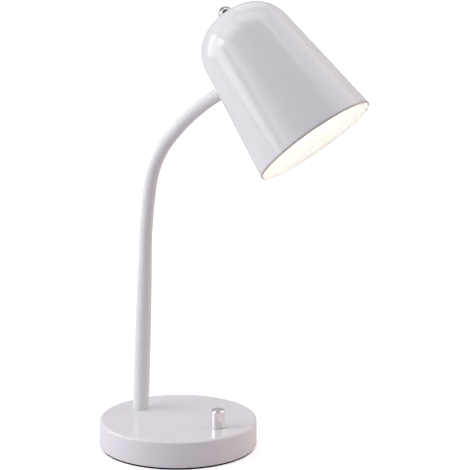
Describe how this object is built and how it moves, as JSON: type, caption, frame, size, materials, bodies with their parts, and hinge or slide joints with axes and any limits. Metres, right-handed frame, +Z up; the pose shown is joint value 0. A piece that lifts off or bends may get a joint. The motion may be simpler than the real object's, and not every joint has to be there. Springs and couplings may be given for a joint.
{
  "type": "desk lamp",
  "caption": "Desk lamp with a round weighted base, a dimmer knob, a flexible sleeved neck and a bell shade with a finial over a small screw bulb.",
  "frame": {"origin": "centre of the foot pad's underside, where the lamp rests", "axes": "+Z up; +X from the neck's foot to the dimmer knob; +Y to the left of someone looking along +X"},
  "size_m": [0.2624, 0.1595, 0.4296],
  "materials": {
    "gloss_paint": "gloss off-white powder coat",
    "chrome": "polished plating",
    "sleeve": "matt white silicone",
    "steel": "zinc-plated steel",
    "wound_steel": "oiled wound wire",
    "iron": "as cast",
    "pad_foam": "black foam rubber",
    "brass": "plain",
    "nickel": "nickel plating",
    "black_plastic": "moulded, satin",
    "white_plastic": "moulded, satin",
    "gland_plastic": "moulded, off-white",
    "board": "glass-fibre board",
    "lead_insulation": "heat-proof insulation",
    "bulb_diffuser": "opal white, lit"
  },
  "bodies": {
    "base": {"base_shell": "gloss_paint", "base_weight": "iron", "bottom_plate": "steel", "foot_pad": "pad_foam", "plate_pillars": "steel", "plate_screws": "steel", "cable_gland": "gland_plastic", "terminal_block": "white_plastic", "terminal_screws": "brass", "earth_tag": "brass", "earth_screw": "steel", "dimmer_leads": "lead_insulation", "dimmer_body": "black_plastic", "dimmer_bush": "steel", "dimmer_washer": "steel", "dimmer_nut": "steel", "dimmer_board": "board", "dimmer_components": "black_plastic", "foot_ferrule": "steel", "foot_washer": "steel", "foot_nut": "steel", "neck_core_foot": "wound_steel", "neck_leads_foot": "lead_insulation", "neck_sleeve_foot": "sleeve"},
    "knob": {"dimmer_shaft": "steel", "shaft_clip": "steel", "knob_insert": "black_plastic", "dimmer_knob": "chrome"},
    "neck_low": {"neck_core_low": "wound_steel", "neck_leads_low": "lead_insulation", "neck_sleeve_low": "sleeve"},
    "neck_middle": {"neck_core_middle": "wound_steel", "neck_leads_middle": "lead_insulation", "neck_sleeve_middle": "sleeve"},
    "neck_crook": {"neck_core_crook": "wound_steel", "neck_leads_crook": "lead_insulation", "neck_sleeve_crook": "sleeve"},
    "neck_reach": {"neck_core_reach": "wound_steel", "neck_leads_reach": "lead_insulation", "neck_sleeve_reach": "sleeve"},
    "head": {"neck_core_end": "wound_steel", "neck_leads_end": "lead_insulation", "top_ferrule": "steel", "top_washer": "steel", "top_nut": "steel", "shade": "gloss_paint", "finial_washer": "chrome", "finial": "chrome", "finial_screw": "steel", "holder_bracket": "steel", "holder_nipple": "steel", "holder_nut": "steel", "lampholder_cap": "white_plastic", "lampholder_body": "white_plastic", "socket_insert": "white_plastic", "socket_contacts": "brass", "bulb_cap": "nickel", "bulb_collar": "white_plastic", "bulb_globe": "bulb_diffuser"}
  },
  "joints": [
    {"name": "neck_foot_tilt", "type": "hinge", "parent": "base", "child": "neck_low", "pos_m": [-0.04467, 0.00029, 0.07705], "axis": [-0.1357, 0.9907, 0], "range_deg": [-25, 25], "deforming": ["neck_sleeve_foot"]},
    {"name": "neck_low_sway", "type": "hinge", "parent": "neck_low", "child": "neck_middle", "pos_m": [-0.0417, 0.0007, 0.14699], "axis": [0.9898, 0.1356, -0.0429], "range_deg": [-20, 20], "deforming": ["neck_sleeve_low"]},
    {"name": "neck_middle_tilt", "type": "hinge", "parent": "neck_middle", "child": "neck_crook", "pos_m": [-0.03573, 0.00152, 0.23674], "axis": [-0.1357, 0.9907, 0], "range_deg": [-25, 25], "deforming": ["neck_sleeve_middle"]},
    {"name": "neck_crook_sway", "type": "hinge", "parent": "neck_crook", "child": "neck_reach", "pos_m": [-0.01993, 0.00368, 0.28572], "axis": [0.8335, 0.1142, -0.5406], "range_deg": [-20, 20], "deforming": ["neck_sleeve_crook"]},
    {"name": "neck_reach_tilt", "type": "hinge", "parent": "neck_reach", "child": "head", "pos_m": [0.01801, 0.00888, 0.3263], "axis": [-0.1357, 0.9907, 0], "range_deg": [-25, 25], "deforming": ["neck_sleeve_reach"]},
    {"name": "dimmer_turn", "type": "hinge", "parent": "base", "child": "knob", "pos_m": [0.0487, 0, 0.0271], "axis": [0, 0, 1], "range_deg": [0, 280]}
  ]
}
